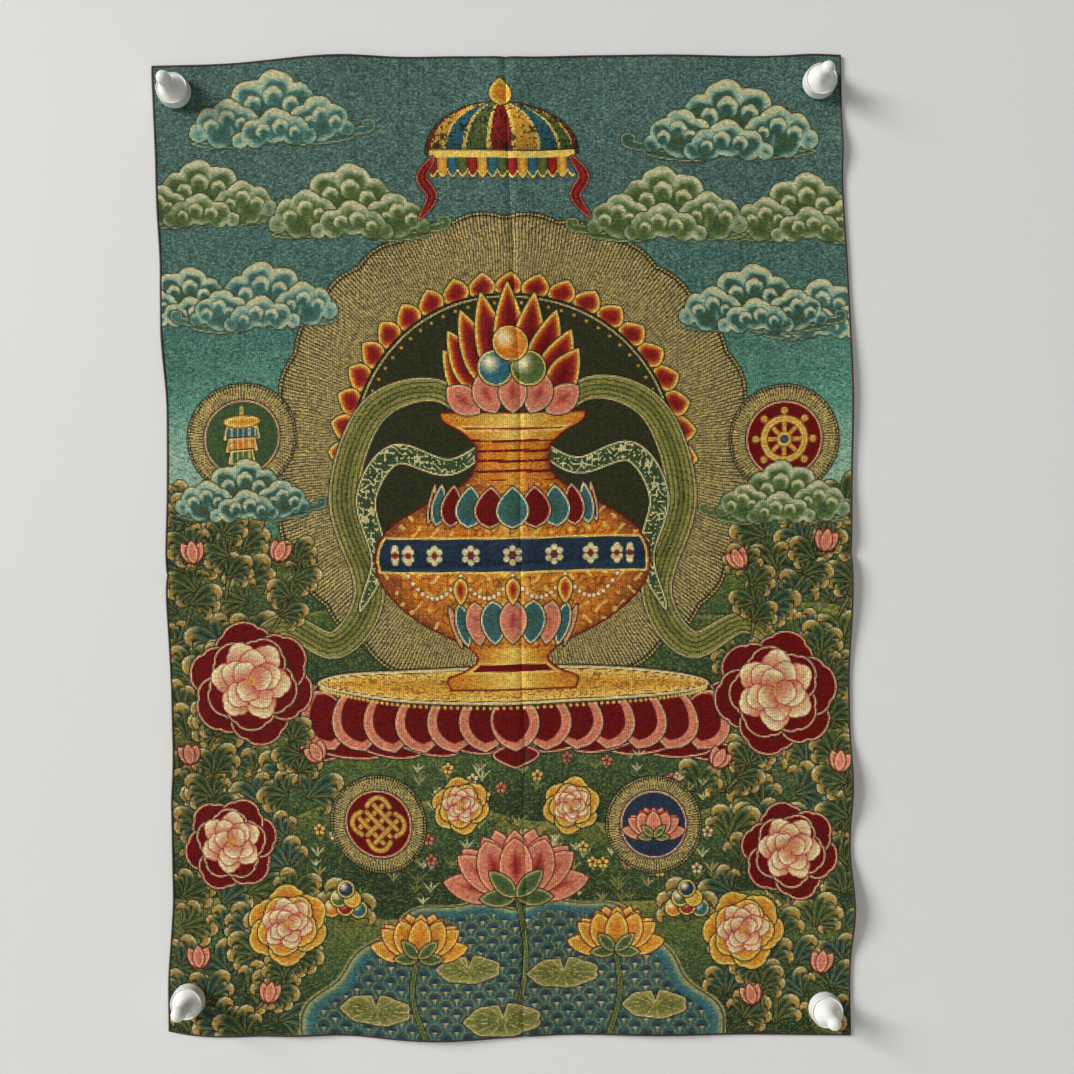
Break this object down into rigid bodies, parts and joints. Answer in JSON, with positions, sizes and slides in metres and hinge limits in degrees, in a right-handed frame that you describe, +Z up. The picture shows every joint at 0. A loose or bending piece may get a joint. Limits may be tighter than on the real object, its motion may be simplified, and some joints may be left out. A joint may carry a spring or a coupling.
{
  "type": "woven thangka sheet with cone magnets",
  "caption": "Upright sheet of machine-woven silk brocade with a pictorial design, held flat at its corners by white cone magnets.",
  "frame": {"origin": "middle of the sheet's top edge, in the plane that its back lies in", "axes": "+X to the right as one faces the picture, +Z up, the picture faces -Y"},
  "size_m": [0.4376, 0.0268, 0.6149],
  "materials": {
    "woven_silk": "jacquard brocade weave, soft silk sheen",
    "white_plastic": "moulded, glossy"
  },
  "bodies": {
    "root": {"cloth": "woven_silk", "magnet_top_left": "white_plastic", "magnet_top_right": "white_plastic", "magnet_bottom_left": "white_plastic", "magnet_bottom_right": "white_plastic"}
  },
  "joints": []
}
